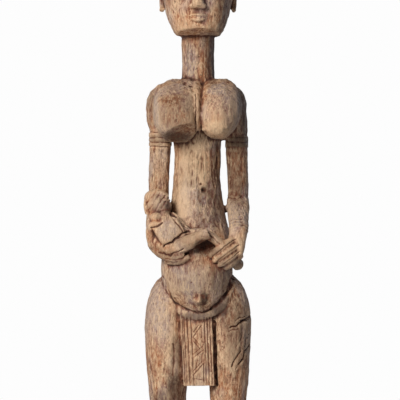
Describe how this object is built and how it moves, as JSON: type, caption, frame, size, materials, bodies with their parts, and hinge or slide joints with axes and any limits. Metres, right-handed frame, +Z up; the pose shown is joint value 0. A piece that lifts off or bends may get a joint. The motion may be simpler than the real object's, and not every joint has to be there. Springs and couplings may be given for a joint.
{
  "type": "carved wooden mother and child figure",
  "caption": "Tall standing mother carved from one log, with a long neck, a child lying across her forearms and a cloth in front, on a low round base.",
  "frame": {"origin": "middle of the flat underside of the round base, on the surface that the figure stands on", "axes": "+Z up the figure, -Y towards the front, +X to the viewer's right"},
  "size_m": [0.212, 0.212, 1.1997],
  "materials": {
    "wood": "old dry hardwood, weathered, with a worn patina"
  },
  "bodies": {
    "root": {"carved_figure": "wood"}
  },
  "joints": []
}
